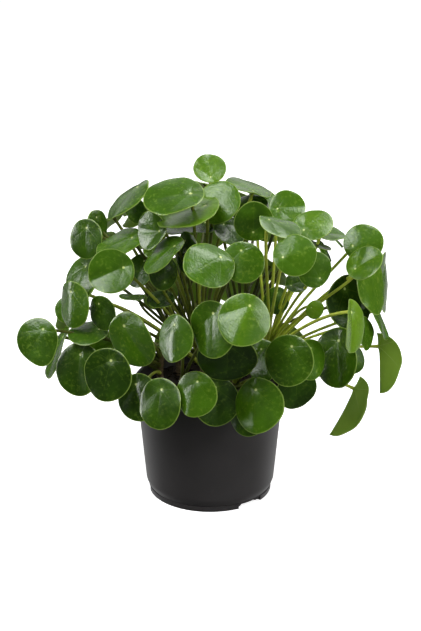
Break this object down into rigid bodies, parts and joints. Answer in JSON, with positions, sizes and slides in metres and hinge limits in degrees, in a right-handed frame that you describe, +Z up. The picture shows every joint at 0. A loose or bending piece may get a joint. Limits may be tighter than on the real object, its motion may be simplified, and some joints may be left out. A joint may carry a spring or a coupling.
{
  "type": "potted money plant",
  "caption": "Potted money plant with round, shiny leaves on thin arching stalks, standing in a round, flared nursery pot filled with soil.",
  "frame": {"origin": "on the pot's axis, on the surface that the pot stands on", "axes": "+Z up along the pot's axis; -Y towards the front, the side that the picture shows; +X to the viewer's right"},
  "size_m": [0.4802, 0.3791, 0.4377],
  "materials": {
    "pot": "satin, nearly black, thin moulded plastic",
    "soil": "rough, dark, crumbly potting soil",
    "leaf": "smooth, shiny, fleshy green leaf with a paler underside"
  },
  "bodies": {
    "root": {"pot": "pot", "soil": "soil", "shoot_middle": "leaf", "shoot_right": "leaf", "shoot_left": "leaf", "shoot_front_left": "leaf", "shoot_front_right": "leaf", "shoot_back_right": "leaf", "shoot_back_left": "leaf"}
  },
  "joints": []
}
